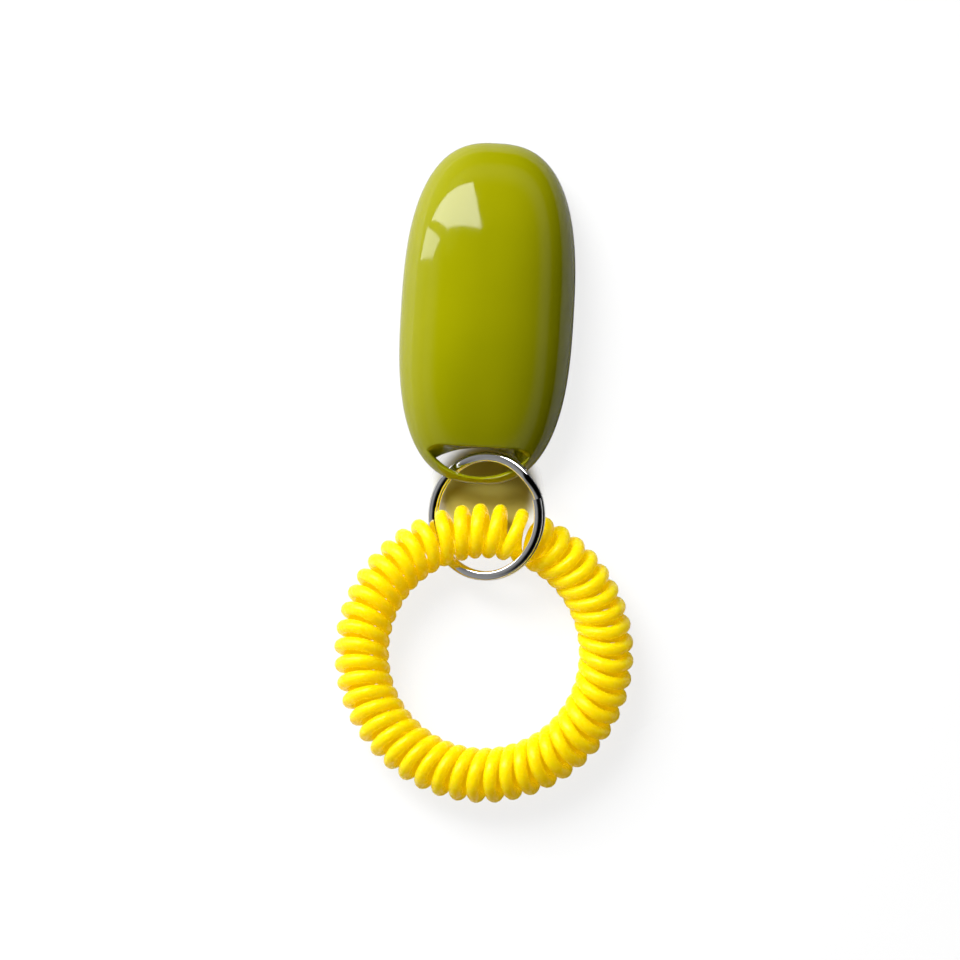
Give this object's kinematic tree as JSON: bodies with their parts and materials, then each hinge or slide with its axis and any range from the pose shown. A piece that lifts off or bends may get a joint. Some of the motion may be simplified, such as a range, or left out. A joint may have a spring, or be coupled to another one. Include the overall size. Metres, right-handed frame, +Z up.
{
  "type": "pet training clicker",
  "caption": "Oval pocket clicker for pet training: recessed thumb button, domed two-part housing, lanyard loop, split key ring and stretchy spiral wrist coil.",
  "frame": {"origin": "middle of the underside of the housing and split ring together, on the surface that they lie on", "axes": "+Z up, out of the domed back cover; +Y along the housing, away from the lanyard loop, ring and coil; +X to the right, seen from above with +Y away from the viewer; the thumb button faces -Z"},
  "size_m": [0.0585, 0.1287, 0.0164],
  "materials": {
    "housing_shell": "moulded ABS in yellow-green, glossy",
    "thumb_button": "moulded ABS in yellow-green, satin where the thumb rests",
    "spring_steel": "blued strip of spring steel, lightly brushed",
    "inner_plastic": "plain moulded plastic, unpolished",
    "screw_steel": "zinc-plated steel",
    "ring_steel": "nickel-plated steel, polished",
    "coil_cord": "soft clear-tinted polyurethane cord in yellow, glossy"
  },
  "bodies": {
    "housing": {"back_cover": "housing_shell", "front_cover": "housing_shell", "tongue_clamp": "inner_plastic", "clamp_screw_left": "screw_steel", "clamp_screw_right": "screw_steel"},
    "button": {"thumb_button": "thumb_button"},
    "tongue": {"click_tongue": "spring_steel"},
    "ring": {"split_ring": "ring_steel"},
    "coil": {"wrist_coil": "coil_cord"}
  },
  "joints": [
    {"name": "button_press", "type": "slide", "parent": "housing", "child": "button", "axis": [0, 0, 1], "range_m": [0, 0.0015], "stiffness_N_per_m": 3000},
    {"name": "tongue_flex", "type": "hinge", "parent": "housing", "child": "tongue", "pos_m": [0, -0.00765, 0.00805], "axis": [1, 0, 0], "range_deg": [0, 3.6]},
    {"name": "ring_swing", "type": "hinge", "parent": "housing", "child": "ring", "pos_m": [0.0012, -0.02205, 0.0056], "axis": [0.9985, 0.0555, 0], "range_deg": [0, 75]},
    {"name": "coil_swing", "type": "hinge", "parent": "ring", "child": "coil", "pos_m": [0.0022, -0.03015, 0.00675], "axis": [-0.4602, 0, 0.8878], "range_deg": [-30, 30]}
  ],
  "couplings": [
    {"joint": "tongue_flex", "follows": "button_press", "rad_per_m": 40}
  ]
}
